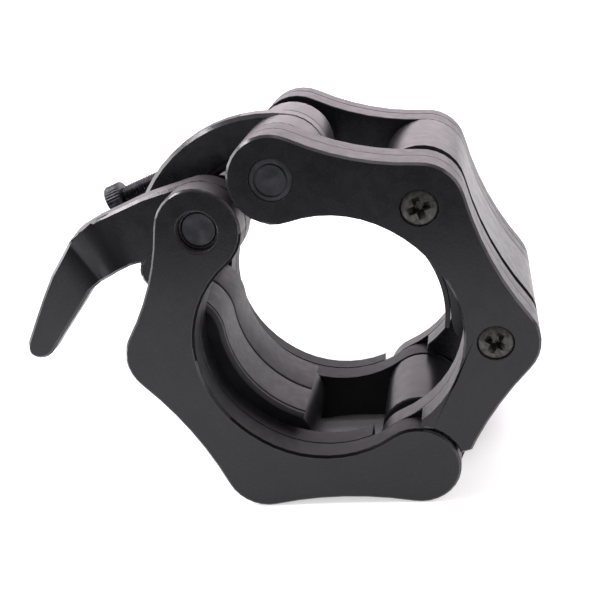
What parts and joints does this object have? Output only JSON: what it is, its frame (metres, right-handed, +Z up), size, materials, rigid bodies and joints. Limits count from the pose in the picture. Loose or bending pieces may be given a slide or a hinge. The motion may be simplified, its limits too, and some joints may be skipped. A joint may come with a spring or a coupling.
{
  "type": "barbell collar",
  "caption": "Hinged two-jaw barbell collar that an over-centre lever and link close round a 50 mm bar sleeve.",
  "frame": {"origin": "middle of the box that the closed collar fills, at its lowest level, where its two lowest lobes stand", "axes": "+Y runs along the bar from the front face to the back face, +X runs from the lever side to the right jaw, +Z up"},
  "size_m": [0.1168, 0.0494, 0.0861],
  "materials": {
    "black_coat": "satin",
    "inner_coat": "satin",
    "pad_plastic": "matte",
    "pin_steel": "blackened",
    "screw_steel": "blackened"
  },
  "bodies": {
    "left_jaw": {"left_front_outer_plate": "black_coat", "left_front_inner_plate": "black_coat", "left_rear_inner_plate": "black_coat", "left_rear_outer_plate": "black_coat", "left_spacer_block": "inner_coat", "left_front_pad": "pad_plastic", "left_rear_pad": "pad_plastic", "left_upper_screw": "screw_steel", "left_upper_washer": "pin_steel", "left_lower_screw": "screw_steel", "left_lower_washer": "pin_steel", "hinge_pin": "pin_steel", "hinge_washer": "pin_steel", "hinge_roller": "inner_coat", "lever_pin": "pin_steel", "lever_pin_front_spacer": "pin_steel", "lever_pin_rear_spacer": "pin_steel"},
    "right_jaw": {"right_front_outer_plate": "black_coat", "right_front_inner_plate": "black_coat", "right_rear_inner_plate": "black_coat", "right_rear_outer_plate": "black_coat", "right_spacer_block": "inner_coat", "right_grip_pad": "pad_plastic", "right_lower_screw": "screw_steel", "right_lower_washer": "pin_steel", "right_upper_screw": "screw_steel", "right_upper_washer": "pin_steel", "link_pin": "pin_steel", "link_barrel_front": "inner_coat", "link_barrel_rear": "inner_coat", "link_pin_spacer": "pin_steel"},
    "lever": {"lever": "black_coat", "crank_pin": "pin_steel"},
    "link": {"link": "black_coat"},
    "adjusting_screw": {"adjusting_screw": "screw_steel"}
  },
  "joints": [
    {"name": "lever_pivot", "type": "hinge", "parent": "left_jaw", "child": "lever", "pos_m": [-0.01047, 0, 0.06663], "axis": [0, 1, 0], "range_deg": [0, 90]},
    {"name": "jaw_hinge", "type": "hinge", "parent": "left_jaw", "child": "right_jaw", "pos_m": [0.03106, 0, 0.00936], "axis": [0, 1, 0], "range_deg": [0, 4.91]},
    {"name": "link_pivot", "type": "hinge", "parent": "right_jaw", "child": "link", "pos_m": [0.00646, 0, 0.07636], "axis": [0, 1, 0], "range_deg": [0, 31.76]},
    {"name": "adjusting_screw_slide", "type": "slide", "parent": "link", "child": "adjusting_screw", "axis": [-0.9455, 0, -0.3256], "range_m": [-0.004, 0.003]}
  ],
  "couplings": [
    {"joint": "jaw_hinge", "follows": "lever_pivot", "ratio": 0.0545},
    {"joint": "link_pivot", "follows": "lever_pivot", "ratio": 0.3529}
  ]
}
